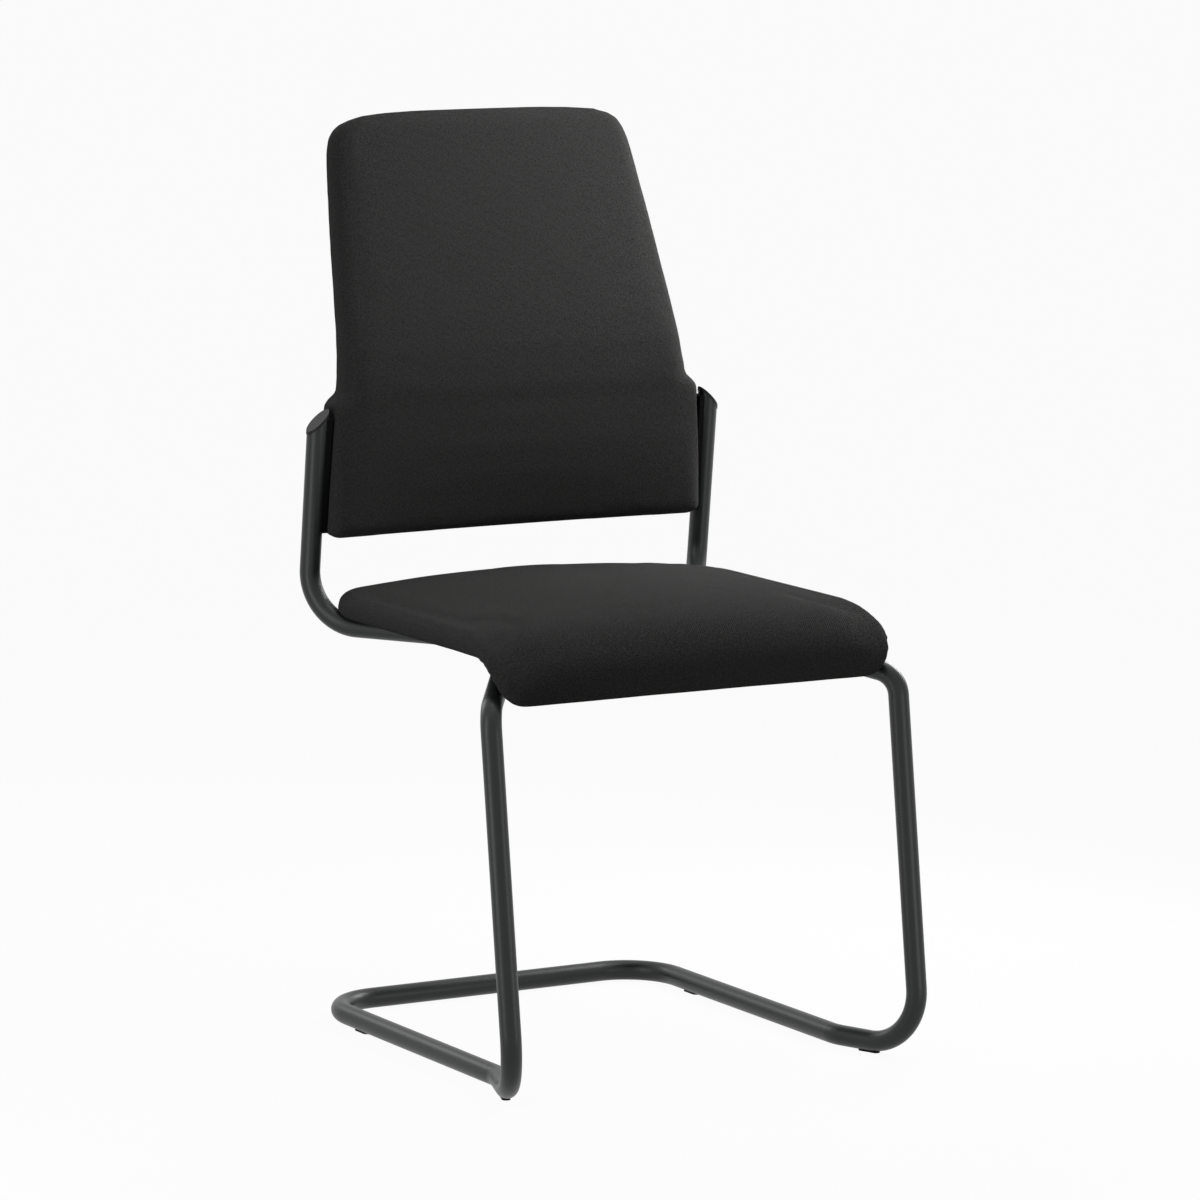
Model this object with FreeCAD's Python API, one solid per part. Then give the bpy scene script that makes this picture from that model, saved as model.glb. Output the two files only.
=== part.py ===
import FreeCAD, Part
import math
import os

# Cantilever visitor chair: a bent steel tube frame that carries an upholstered seat and back.
# Millimetres. The front of the chair looks along -Y, +X is the side away from the viewer's left,
# +Z is up and the glides stand on z = 0.

V = FreeCAD.Vector

# Tube
TUBE_R = 11.0
TUBE_WALL = 2.5
FIT = 0.1

# Floor glides
GLIDE_BASE = 1.0
GLIDE_LENGTH = 26.0
GLIDE_WIDTH = 9.0
GLIDE_RISE = 1.0
GLIDE_STEM_R = 3.0
GLIDE_STEM_GRIP = 3.0
GLIDE_FRONT_SETBACK = 66.0
GLIDE_REAR_SETBACK = 96.0

# Seat width, which the frame's widths follow
SEAT_HALF_WIDTH = 244.0

# Base frame centreline
KNEE_OUTSET = 2.0
KNEE_Y = -213.0
KNEE_Z = 403.5
KNEE_BEND = 28.0
FLOOR_FRONT_Y = -268.5
FLOOR_FRONT_BEND = 56.5
RUNNER_INSET = 37.5
RUNNER_KINK_Y = -166.0
RUNNER_KINK_BEND = 40.0
FLOOR_REAR_Y = 224.0
FLOOR_REAR_BEND = 62.0

# Rails under the seat
RAIL_X = 140.0
RAIL_Z = 437.6
RAIL_FRONT_Y = -65.0
RAIL_REAR_Y = 34.0
RAIL_JOINT_Y = -15.0
RAIL_BEND = 50.0

# Back uprights
UPRIGHT_TUCK = 2.0
UPRIGHT_FOOT_Y = 190.4
UPRIGHT_BEND = 55.0
UPRIGHT_LEAN_DEG = 5.9
UPRIGHT_TOP_Z = 654.0
END_CUT_DEG = 45.0

# Plastic end caps of the uprights
CAP_LIP = 0.6
CAP_PLATE = 2.5
CAP_STEM_LENGTH = 20.0
CAP_STEM_WALL = 2.0

# Spigots inside the tube joints
SPIGOT_LENGTH = 60.0

# Seat straps across the rails
STRAP_THICKNESS = 3.0
STRAP_WIDTH = 30.0
STRAP_OVERHANG = 4.0
STRAP_FRONT_Y = -45.0
STRAP_REAR_Y = 105.0
STRAP_SEAT_GAP = 0.3

# Seat cushion, outside of the cloth
SEAT_REAR_Y = 213.0
SEAT_EDGE = 23.5
SEAT_CROWN = 17.5
SEAT_SIDE_DRAW_IN = 12.0
SEAT_TOP_DRAW_IN = 34.0
SEAT_LIP_DRAW_IN = 10.0
SEAT_REAR_CORNER = 125.0
SEAT_REAR_ROLL = 60.0
SEAT_REAR_DROP = 16.0
SEAT_FRONT_Y = -223.0
SEAT_LIP_Z = 405.5
SEAT_LIP = 24.0
SEAT_LIP_ROLL = 3.0
SEAT_LIP_TAPER = 28.0
SEAT_LIP_TAPER_POWER = 5
SEAT_TOP_BEND = 100.0
SEAT_UNDER_BEND = 32.0
CLOTH = 1.2
SOFT_GAP = 0.3

# Seat pan and its lining
PAN_THICKNESS = 8.0
PAN_INSET = 18.0
HEM = 30.0

# Seat fasteners
SEAT_SCREW_X = 110.0
SCREW_R = 3.0
SCREW_HEAD_R = 6.0
SCREW_HEAD = 3.5
SCREW_CLEARANCE = 0.3
NUT_BARREL_R = 4.2
NUT_FLANGE_R = 9.5
NUT_FLANGE = 1.5

# Back pad, outside of the cloth
BACK_BOTTOM_Z = 530.0
BACK_TOP_Z = 974.5
BACK_Y = 172.0
BACK_BEND_Z = 708.0
BACK_BEND_REACH = 44.0
BACK_LEAN_DEG = 19.3
BACK_EDGE = 38.0
BACK_CROWN = 6.0
BACK_LUMBAR = 6.0
BACK_LUMBAR_Z = 620.0
BACK_LUMBAR_REACH = 90.0
BACK_HOLLOW = 16.0
BACK_SIDE_GAP = 4.0
BACK_LOW_CORNER = 9.0
BACK_SHOULDER_Z = 664.0
BACK_SHOULDER_HEIGHT = 20.0
BACK_SHOULDER_STEP = 13.0
BACK_TAPER = 32.5
BACK_TOP_CORNER = 50.0
BACK_TOP_ARC = 2100.0
BACK_TOP_CUT = 1.0
BACK_CORNER_POWER = 3.5
BACK_TOP_ROLL = 14.5
BACK_BOTTOM_ROLL = 10.0
BACK_REAR_DRAW_IN = 5.0
BACK_FRONT_DRAW_IN = 12.0

# Back shell and pads inside the cloth
REAR_PAD = 8.0
SHELL_THICKNESS = 10.0
SHELL_INSET = 16.0

# Steel tabs that hold the back
TAB_THICKNESS = 3.0
TAB_LOW_Z = 550.0
TAB_HEIGHT = 76.0
TAB_REACH = 70.0
TAB_CORNER = 8.0
TAB_SCREW_INSET = 14.0
STRIP_BELOW_TAB = 14.0
STRIP_ABOVE_TAB = 34.0
STRIP_DEPTH = 15.0
STRIP_PAD_GAP = 1.0
BACK_SCREW_R = 2.5
BACK_SCREW_HEAD_R = 4.8
BACK_SCREW_HEAD = 2.6
INSERT_R = 4.0
INSERT_SETBACK = 0.8

# Sections of the cushion lofts over the seat's rear corners and its front bend
REAR_STEPS = 8
FRONT_STEPS = 16
SECTION_BELLY = 0.42
QUARTER = math.sqrt(0.5)
FLAT = 0.01

KNEE_X = SEAT_HALF_WIDTH + KNEE_OUTSET
RUNNER_X = SEAT_HALF_WIDTH - RUNNER_INSET
UPRIGHT_X = SEAT_HALF_WIDTH - UPRIGHT_TUCK
BACK_LOW_HALF_WIDTH = UPRIGHT_X - TUBE_R - BACK_SIDE_GAP
BACK_MID_HALF_WIDTH = BACK_LOW_HALF_WIDTH - BACK_SHOULDER_STEP
BACK_TOP_HALF_WIDTH = BACK_MID_HALF_WIDTH - BACK_TAPER
STRIP_LOW_Z = TAB_LOW_Z - STRIP_BELOW_TAB
STRIP_TOP_Z = TAB_LOW_Z + TAB_HEIGHT + STRIP_ABOVE_TAB
FLOOR_TUBE_Z = GLIDE_BASE + TUBE_R
TUBE_BORE_R = TUBE_R - TUBE_WALL
STRAP_TOP_Z = RAIL_Z + TUBE_R + FIT + STRAP_THICKNESS
SEAT_UNDER_Z = STRAP_TOP_Z + STRAP_SEAT_GAP
SEAT_TOP_Z = SEAT_UNDER_Z + SEAT_EDGE
LEAN = math.tan(math.radians(UPRIGHT_LEAN_DEG))
BACK_SLOPE = math.tan(math.radians(BACK_LEAN_DEG))
BACK_CURVE = BACK_HOLLOW / BACK_LOW_HALF_WIDTH ** 2


def bent_wire(points, bends):
    """Straight runs joined by tangent arcs; bends holds one radius per inner point."""
    edges = []
    start = points[0]
    for before, corner, after, radius in zip(points, points[1:], points[2:], bends):
        back = (before - corner).normalize()
        ahead = (after - corner).normalize()
        half_turn = (math.pi - back.getAngle(ahead)) / 2
        tangent = radius * math.tan(half_turn)
        inward = (back + ahead).normalize()
        centre = corner + inward * (radius / math.cos(half_turn))
        first = corner + back * tangent
        last = corner + ahead * tangent
        edges.append(Part.LineSegment(start, first).toShape())
        edges.append(Part.Arc(first, centre - inward * radius, last).toShape())
        start = last
    edges.append(Part.LineSegment(start, points[-1]).toShape())
    return Part.Wire(edges)


def bent_rod(points, bends, radius):
    path = bent_wire(points, bends)
    ring = Part.Wire(Part.makeCircle(radius, points[0], points[1] - points[0]))
    return path.makePipeShell([ring], True, False)


def bent_tube(points, bends):
    return bent_rod(points, bends, TUBE_R).cut(bent_rod(points, bends, TUBE_BORE_R))


def mirrored(shape):
    return shape.mirror(V(0, 0, 0), V(1, 0, 0))


def upright_y(z):
    """Y of the upright's centreline at height z."""
    return UPRIGHT_FOOT_Y - (z - RAIL_Z) * LEAN


def upright_axis():
    return V(0, -LEAN, 1).normalize()


def end_plane_cut(lift):
    """Big block above the slanted end plane of the right-hand upright, raised by lift."""
    size = 10 * TUBE_R
    tilt = FreeCAD.Rotation(V(0, 1, 0), END_CUT_DEG)
    block = Part.makeBox(size, size, size, V(-size / 2, -size / 2, lift))
    seat = V(UPRIGHT_X, upright_y(UPRIGHT_TOP_Z), UPRIGHT_TOP_Z)
    block.Placement = FreeCAD.Placement(seat, tilt)
    return block


def upright():
    """Right-hand back upright with its rear bend and the rail that runs in under the seat."""
    rise = UPRIGHT_TOP_Z + 3 * TUBE_R
    points = [
        V(UPRIGHT_X, upright_y(rise), rise),
        V(UPRIGHT_X, UPRIGHT_FOOT_Y, RAIL_Z),
        V(RAIL_X, RAIL_REAR_Y, RAIL_Z),
        V(RAIL_X, RAIL_JOINT_Y, RAIL_Z),
    ]
    return bent_tube(points, [UPRIGHT_BEND, RAIL_BEND]).cut(end_plane_cut(0))


def floor_point(setback):
    """Point on the front floor run, at a distance from its corner, and the run's direction."""
    corner = V(KNEE_X, FLOOR_FRONT_Y, FLOOR_TUBE_Z)
    along = (V(RUNNER_X, RUNNER_KINK_Y, FLOOR_TUBE_Z) - corner).normalize()
    return corner + along * setback, along


def glide_places():
    """Centre and direction of the right-hand glides, by node name."""
    rear = V(RUNNER_X, FLOOR_REAR_Y - GLIDE_REAR_SETBACK, FLOOR_TUBE_Z)
    return {"front": floor_point(GLIDE_FRONT_SETBACK), "rear": (rear, V(0, 1, 0))}


def base_half():
    """Right-hand half of the base: rail, knee, leg, runner and half of the rear floor bar."""
    points = [
        V(RAIL_X, RAIL_JOINT_Y, RAIL_Z),
        V(RAIL_X, RAIL_FRONT_Y, RAIL_Z),
        V(KNEE_X, KNEE_Y, KNEE_Z),
        V(KNEE_X, FLOOR_FRONT_Y, FLOOR_TUBE_Z),
        V(RUNNER_X, RUNNER_KINK_Y, FLOOR_TUBE_Z),
        V(RUNNER_X, FLOOR_REAR_Y, FLOOR_TUBE_Z),
        V(0, FLOOR_REAR_Y, FLOOR_TUBE_Z),
    ]
    bends = [RAIL_BEND, KNEE_BEND, FLOOR_FRONT_BEND, RUNNER_KINK_BEND, FLOOR_REAR_BEND]
    tube = bent_tube(points, bends)
    for centre, along in glide_places().values():
        hole = Part.makeCylinder(GLIDE_STEM_R + FIT, TUBE_R, V(centre.x, centre.y, 0))
        tube = tube.cut(hole)
    return tube


def glide(centre, along):
    """Low plastic glide that hugs the underside of the tube and snaps into it with a stem."""
    side = along.cross(V(0, 0, 1)).normalize()
    top = GLIDE_BASE + GLIDE_RISE
    half = GLIDE_LENGTH / 2 - GLIDE_WIDTH / 2
    foot = V(centre.x, centre.y, 0)
    ends = [foot - along * half, foot + along * half]
    corners = [
        ends[0] + side * (GLIDE_WIDTH / 2),
        ends[1] + side * (GLIDE_WIDTH / 2),
        ends[1] + along * (GLIDE_WIDTH / 2),
        ends[1] - side * (GLIDE_WIDTH / 2),
        ends[0] - side * (GLIDE_WIDTH / 2),
        ends[0] - along * (GLIDE_WIDTH / 2),
    ]
    outline = Part.Wire([
        Part.LineSegment(corners[0], corners[1]).toShape(),
        Part.Arc(corners[1], corners[2], corners[3]).toShape(),
        Part.LineSegment(corners[3], corners[4]).toShape(),
        Part.Arc(corners[4], corners[5], corners[0]).toShape(),
    ])
    pad = Part.Face(outline).extrude(V(0, 0, top))
    room = Part.makeCylinder(TUBE_R + FIT / 2, 2 * GLIDE_LENGTH, centre - along * GLIDE_LENGTH, along)
    stem = Part.makeCylinder(GLIDE_STEM_R, GLIDE_BASE + TUBE_WALL + GLIDE_STEM_GRIP, foot)
    return pad.cut(room).fuse(stem)


def end_cap():
    """Slanted plastic cap on the right-hand upright, with a hollow stem in the bore."""
    axis = upright_axis()
    low = V(UPRIGHT_X, upright_y(UPRIGHT_TOP_Z), UPRIGHT_TOP_Z) - axis * (2 * TUBE_R)
    column = Part.makeCylinder(TUBE_R + CAP_LIP, 5 * TUBE_R, low, axis)
    plate = column.cut(end_plane_cut(FIT + CAP_PLATE)).common(end_plane_cut(FIT))
    stem_foot = low + axis * (TUBE_R - CAP_STEM_LENGTH / 2)
    stem = Part.makeCylinder(TUBE_BORE_R - FIT, 5 * TUBE_R, stem_foot, axis)
    stem = stem.cut(end_plane_cut(FIT + CAP_PLATE / 2))
    hollow = Part.makeCylinder(TUBE_BORE_R - FIT - CAP_STEM_WALL, 5 * TUBE_R, stem_foot, axis)
    stem = stem.cut(hollow.cut(end_plane_cut(FIT)))
    return plate.fuse(stem).removeSplitter()


def rod(radius, low, high):
    return Part.makeCylinder(radius, (high - low).Length, low, high - low)


def spigots():
    """Solid steel spigots that join the four lengths of tube."""
    radius = TUBE_BORE_R - FIT
    half = SPIGOT_LENGTH / 2
    rail = rod(radius, V(RAIL_X, RAIL_JOINT_Y - half, RAIL_Z), V(RAIL_X, RAIL_JOINT_Y + half, RAIL_Z))
    floor = rod(radius, V(-half, FLOOR_REAR_Y, FLOOR_TUBE_Z), V(half, FLOOR_REAR_Y, FLOOR_TUBE_Z))
    return [rail, mirrored(rail), floor]


def rear_rail_x(y):
    """X of the rear rail's centreline where it runs in from the upright."""
    share = (UPRIGHT_FOOT_Y - y) / (UPRIGHT_FOOT_Y - RAIL_REAR_Y)
    return UPRIGHT_X - (UPRIGHT_X - RAIL_X) * share


def strap(y, rail_x):
    """Flat steel strap across both rails, with the seat's screw holes."""
    half = rail_x + TUBE_R + STRAP_OVERHANG
    low = V(-half, y - STRAP_WIDTH / 2, STRAP_TOP_Z - STRAP_THICKNESS)
    bar = Part.makeBox(2 * half, STRAP_WIDTH, STRAP_THICKNESS, low)
    for x in (-SEAT_SCREW_X, SEAT_SCREW_X):
        hole = Part.makeCylinder(SCREW_R + SCREW_CLEARANCE, STRAP_THICKNESS, V(x, y, low.z))
        bar = bar.cut(hole)
    return bar


def roll(reach, drop, distance):
    """How far an edge rolled over a reach has dropped at a distance in from its end."""
    if distance >= reach:
        return 0.0
    return drop * (1 - math.sqrt(1 - (1 - distance / reach) ** 2))


def seat_under(travel):
    """Point (y, z) on the seat's underside past the start of the front bend, and its turn."""
    flat = SEAT_FRONT_Y + SEAT_LIP + SEAT_UNDER_BEND
    run = SEAT_FRONT_Y + SEAT_TOP_BEND - flat
    arc = SEAT_UNDER_BEND * math.pi / 2
    if travel < run:
        return (SEAT_FRONT_Y + SEAT_TOP_BEND - travel, SEAT_UNDER_Z), 0.0
    if travel < run + arc:
        turn = (travel - run) / SEAT_UNDER_BEND
        return (flat - SEAT_UNDER_BEND * math.sin(turn),
                SEAT_UNDER_Z - SEAT_UNDER_BEND * (1 - math.cos(turn))), turn
    below = SEAT_UNDER_Z - SEAT_UNDER_BEND - (travel - run - arc)
    return (SEAT_FRONT_Y + SEAT_LIP, below), math.pi / 2


def seat_stations(inset):
    """Rows of (lower point, upper point, half width, turn), from the rear edge to the front lip."""
    rows = []
    for step in range(REAR_STEPS + 1):
        angle = math.pi / 2 * step / REAR_STEPS
        distance = SEAT_REAR_CORNER * (1 - math.cos(angle))
        half = SEAT_HALF_WIDTH - SEAT_REAR_CORNER * (1 - math.sin(angle))
        y = SEAT_REAR_Y - inset - distance
        drop = roll(SEAT_REAR_ROLL, SEAT_REAR_DROP, distance)
        rows.append(((y, SEAT_UNDER_Z), (y, SEAT_TOP_Z - drop), half, 0.0))
    bend_y = SEAT_FRONT_Y + SEAT_TOP_BEND
    rows.append(((bend_y, SEAT_UNDER_Z), (bend_y, SEAT_TOP_Z), SEAT_HALF_WIDTH, 0.0))
    flat = SEAT_FRONT_Y + SEAT_LIP + SEAT_UNDER_BEND
    drop = SEAT_UNDER_Z - SEAT_UNDER_BEND - SEAT_LIP_Z - inset
    length = bend_y - flat + SEAT_UNDER_BEND * math.pi / 2 + drop
    fall = SEAT_TOP_Z - SEAT_LIP_Z - inset
    for step in range(1, FRONT_STEPS + 1):
        share = step / FRONT_STEPS
        angle = math.pi / 2 * share
        upper = (bend_y - SEAT_TOP_BEND * math.sin(angle), SEAT_TOP_Z - fall * (1 - math.cos(angle)))
        lower, turn = seat_under(length * share)
        rows.append((lower, upper, SEAT_HALF_WIDTH - SEAT_LIP_TAPER * share ** SEAT_LIP_TAPER_POWER, turn))
    (low_y, low_z), (high_y, high_z), half, turn = rows[-1]
    tip = SEAT_LIP_ROLL
    rows[-1] = ((low_y, low_z + tip), (high_y, high_z + tip), half, turn)
    rows.append(((low_y - tip, low_z), (high_y + tip, high_z), half - tip, turn))
    return rows


def rounded(first, last, centre):
    """Arc near the quarter ellipse that runs from first to last about its centre."""
    middle = centre + (first - centre + last - centre) * QUARTER
    return Part.Arc(first, middle, last).toShape()


def bowed(first, middle, last):
    """Arc through three points, or a straight edge where they are in line."""
    chord = (first + last) / 2
    if (middle - chord).Length < FLAT:
        return Part.LineSegment(first, last).toShape()
    return Part.Arc(first, middle, last).toShape()


def padded_section(low, high, half, rear_in, front_in, crown, inset, curve=0.0):
    """Closed section between a lower and an upper point, with drawn-in sides and a crown.

    curve brings the section forward with the square of the distance from its middle.
    """
    base = V(0, low[0], low[1])
    axis = V(0, high[0] - low[0], high[1] - low[1])
    depth = axis.Length - 2 * inset
    axis.normalize()
    base = base + axis * inset
    side = half - inset
    edge = depth - crown * depth / (depth + 2 * inset)

    def at(x, height):
        return base + V(x, 0, 0) + axis * (height + curve * x * x)

    rear = side - rear_in
    front = side - front_in
    belly = SECTION_BELLY * edge
    return Part.Wire([
        bowed(at(-rear, 0), at(0, 0), at(rear, 0)),
        rounded(at(rear, 0), at(side, belly), at(rear, belly)),
        rounded(at(side, belly), at(front, edge), at(front, belly)),
        bowed(at(front, edge), at(0, depth), at(-front, edge)),
        rounded(at(-front, edge), at(-side, belly), at(-front, belly)),
        rounded(at(-side, belly), at(-rear, 0), at(-rear, belly)),
    ])


def seat_form(inset):
    """Solid of the seat cushion, drawn in all round by inset."""
    wires = []
    for low, high, half, turn in seat_stations(inset):
        depth = math.dist(low, high)
        share = depth / (SEAT_EDGE + SEAT_CROWN)
        crown = SEAT_CROWN * share
        tall = (high[0] + (high[0] - low[0]) * crown / depth, high[1] + (high[1] - low[1]) * crown / depth)
        turned = turn / (math.pi / 2)
        draw_in = SEAT_TOP_DRAW_IN * (1 - turned) + SEAT_LIP_DRAW_IN * turned
        wires.append(padded_section(low, tall, half, SEAT_SIDE_DRAW_IN * share, draw_in * share,
                                    crown, inset))
    return Part.makeLoft(wires, True, True)


def seat_slab(start, end, inset):
    """Plate that follows the seat's underside, drawn in from its outline by inset."""
    wires = []
    for low, high, half, turn in seat_stations(inset)[:-1]:
        normal = V(0, -math.sin(turn), math.cos(turn))
        near = V(0, low[0], low[1]) + normal * start
        far = V(0, low[0], low[1]) + normal * end
        side = V(half - inset, 0, 0)
        wires.append(Part.makePolygon([near - side, near + side, far + side, far - side, near - side]))
    return Part.makeLoft(wires, True, True)


def seat_screw_places():
    return [(x, y) for y in (STRAP_FRONT_Y, STRAP_REAR_Y) for x in (-SEAT_SCREW_X, SEAT_SCREW_X)]


def lining_window(gap):
    """Block through the seat's underside where the cloth's hem leaves the pan open."""
    margin = HEM + SEAT_REAR_CORNER / 2 - gap
    half = SEAT_HALF_WIDTH - HEM - gap
    front = SEAT_FRONT_Y + SEAT_LIP + SEAT_UNDER_BEND + HEM / 2 + gap
    rear = SEAT_REAR_Y - margin - 2 * gap
    return Part.makeBox(2 * half, rear - front, 2 * CLOTH, V(-half, front, SEAT_UNDER_Z - CLOTH))


def seat_pieces():
    """Cloth cover, foam, pan and underside lining of the seat."""
    pan_start = CLOTH + SOFT_GAP
    pan_end = pan_start + PAN_THICKNESS
    cover = seat_form(0).cut(seat_form(CLOTH)).cut(lining_window(0))
    pan = seat_slab(pan_start, pan_end, PAN_INSET)
    room = seat_slab(-SEAT_EDGE, pan_end + SOFT_GAP, PAN_INSET - SOFT_GAP)
    foam = seat_form(CLOTH + SOFT_GAP).cut(room)
    lining_block = lining_window(SOFT_GAP)
    lining = lining_block.common(seat_slab(0, CLOTH, PAN_INSET))
    pan_top = SEAT_UNDER_Z + pan_end
    for x, y in seat_screw_places():
        through = Part.makeCylinder(NUT_BARREL_R + FIT, 2 * PAN_THICKNESS, V(x, y, SEAT_UNDER_Z - CLOTH))
        recess = Part.makeCylinder(NUT_FLANGE_R + FIT, NUT_FLANGE, V(x, y, pan_top - NUT_FLANGE))
        pan = pan.cut(through).cut(recess)
        lining = lining.cut(through)
    return {"seat_cover": [cover], "seat_foam": [foam], "seat_pan": [pan], "seat_lining": [lining]}


def seat_fasteners():
    """Screws from below through the straps, and flanged nuts let into the top of the pan."""
    under = STRAP_TOP_Z - STRAP_THICKNESS
    pan_top = SEAT_UNDER_Z + CLOTH + SOFT_GAP + PAN_THICKNESS
    screws = []
    nuts = []
    for x, y in seat_screw_places():
        head = Part.makeCylinder(SCREW_HEAD_R, SCREW_HEAD, V(x, y, under - SCREW_HEAD))
        head = head.makeFillet(SCREW_HEAD / 3, [head.Edges[2]])
        shank = Part.makeCylinder(SCREW_R, pan_top - NUT_FLANGE - under, V(x, y, under))
        screws.append(head.fuse(shank))
        nut_low = SEAT_UNDER_Z + CLOTH + SOFT_GAP
        barrel = Part.makeCylinder(NUT_BARREL_R, pan_top - nut_low - NUT_FLANGE, V(x, y, nut_low))
        flange = Part.makeCylinder(NUT_FLANGE_R, NUT_FLANGE, V(x, y, pan_top - NUT_FLANGE))
        bore = Part.makeCylinder(SCREW_R + FIT / 2, 2 * PAN_THICKNESS, V(x, y, nut_low - PAN_THICKNESS / 2))
        nuts.append(barrel.fuse(flange).cut(bore))
    return {"seat_screws": screws, "seat_nuts": nuts}


def back_path(z):
    """Y of the back pad's middle plane at height z, and the pad's slope there."""
    low = BACK_BEND_Z - BACK_BEND_REACH
    high = BACK_BEND_Z + BACK_BEND_REACH
    if z <= low:
        return BACK_Y, 0.0
    if z >= high:
        return BACK_Y + (z - BACK_BEND_Z) * BACK_SLOPE, BACK_SLOPE
    share = (z - low) / (high - low)
    return BACK_Y + BACK_SLOPE * (high - low) * share ** 2 / 2, BACK_SLOPE * share


def back_side(z):
    """Half width of the back pad at height z, with its top and bottom corners left square."""
    taper = (z - BACK_SHOULDER_Z) / (BACK_TOP_Z - BACK_SHOULDER_Z)
    upper = BACK_MID_HALF_WIDTH + (BACK_TOP_HALF_WIDTH - BACK_MID_HALF_WIDTH) * taper
    rise = min(max((z - BACK_SHOULDER_Z) / BACK_SHOULDER_HEIGHT, 0.0), 1.0)
    blend = (1 - math.cos(math.pi * rise)) / 2
    return BACK_LOW_HALF_WIDTH * (1 - blend) + upper * blend


def back_half_width(z, inset):
    """Half width of the back pad's outline at height z, its corners rounded and its top arched."""
    top = BACK_TOP_Z - inset
    bottom = BACK_BOTTOM_Z + inset
    arch = math.sqrt(2 * BACK_TOP_ARC * (top + BACK_TOP_CUT - z))
    side = back_side(z)
    power = -BACK_CORNER_POWER
    half = (side ** power + arch ** power) ** (1 / power)
    return half - roll(BACK_LOW_CORNER, BACK_LOW_CORNER, max(z - bottom, 0.0))


def spread(start, end, count):
    """Heights between two ends, closer together towards the start."""
    return [start + (end - start) * (1 - math.cos(math.pi / 2 * step / count)) for step in range(count + 1)]


def back_heights(inset):
    bottom = BACK_BOTTOM_Z + inset
    top = BACK_TOP_Z - inset
    shoulder = [BACK_SHOULDER_Z + BACK_SHOULDER_HEIGHT * step / 6 for step in range(7)]
    bend = [BACK_BEND_Z + BACK_BEND_REACH * step / 3 for step in (-3, -1, 1, 3)]
    waist = [BACK_LUMBAR_Z + BACK_LUMBAR_REACH * step / 3 for step in (-2, -1, 0, 1)]
    rise = spread(top, top - BACK_TOP_CORNER, 9)
    foot = spread(bottom, bottom + BACK_LOW_CORNER, 5)
    middle = [BACK_TOP_Z - BACK_TOP_CORNER * 2.5]
    return sorted(set(foot + waist + shoulder + bend + middle + rise))


def back_frame(z):
    """Middle point of the pad's section at height z, and its forward direction."""
    y, slope = back_path(z)
    forward = V(0, -1, slope).normalize()
    return V(0, y, z) - forward * (BACK_CURVE * back_side(z) ** 2), forward


def front_crown(z):
    """Crown of the pad's front at height z, fuller at the small of the back."""
    distance = min(abs(z - BACK_LUMBAR_Z) / BACK_LUMBAR_REACH, 1.0)
    return BACK_CROWN + BACK_LUMBAR * (1 + math.cos(math.pi * distance)) / 2


def back_form(inset):
    """Solid of the back pad, drawn in all round by inset."""
    wires = []
    top = BACK_TOP_Z - inset
    bottom = BACK_BOTTOM_Z + inset
    for z in back_heights(inset):
        middle, forward = back_frame(z)
        thin = roll(BACK_TOP_ROLL, BACK_TOP_ROLL, top - z)
        thin += roll(BACK_BOTTOM_ROLL, BACK_BOTTOM_ROLL, z - bottom)
        half_depth = BACK_EDGE / 2 - thin
        share = half_depth * 2 / BACK_EDGE
        rear = middle - forward * half_depth
        crown = front_crown(z) * share
        front = middle + forward * (half_depth + crown)
        wires.append(padded_section((rear.y, rear.z), (front.y, front.z), back_half_width(z, inset),
                                    BACK_REAR_DRAW_IN * share, BACK_FRONT_DRAW_IN * share, crown,
                                    inset, BACK_CURVE))
    return Part.makeLoft(wires, True, True)


def back_slab(start, end, inset):
    """Plate between two depths from the pad's rear face, drawn in from its outline by inset."""
    wires = []
    for z in back_heights(inset):
        middle, forward = back_frame(z)
        rear = middle - forward * (BACK_EDGE / 2)
        half = back_half_width(z, inset) - inset
        ahead = BACK_CURVE * half ** 2

        def at(x, depth):
            return rear + V(x, 0, 0) + forward * depth

        wires.append(Part.Wire([
            bowed(at(-half, start + ahead), at(0, start), at(half, start + ahead)),
            Part.LineSegment(at(half, start + ahead), at(half, end + ahead)).toShape(),
            bowed(at(half, end + ahead), at(0, end), at(-half, end + ahead)),
            Part.LineSegment(at(-half, end + ahead), at(-half, start + ahead)).toShape(),
        ]))
    return Part.makeLoft(wires, True, True)


SHELL_START = CLOTH + SOFT_GAP + REAR_PAD + SOFT_GAP
SHELL_END = SHELL_START + SHELL_THICKNESS
SHELL_REAR_Y = BACK_Y + BACK_EDGE / 2 - SHELL_START
SHELL_FRONT_Y = SHELL_REAR_Y - SHELL_THICKNESS
TAB_FRONT_Y = (SHELL_REAR_Y + SHELL_FRONT_Y - TAB_THICKNESS) / 2
TAB_INNER_X = BACK_LOW_HALF_WIDTH - TAB_REACH
TAB_TOP_Z = TAB_LOW_Z + TAB_HEIGHT
TAB_SCREW_X = TAB_INNER_X + TAB_SCREW_INSET


def turned(shape):
    """Turns a right-hand piece about the pad's side so that it follows the shell's curve."""
    slope = 2 * BACK_CURVE * (BACK_LOW_HALF_WIDTH - TAB_REACH / 2)
    pivot = V(BACK_LOW_HALF_WIDTH, TAB_FRONT_Y + TAB_THICKNESS / 2, 0)
    shape.rotate(pivot, V(0, 0, 1), -math.degrees(math.atan(slope)))
    return shape


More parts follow.
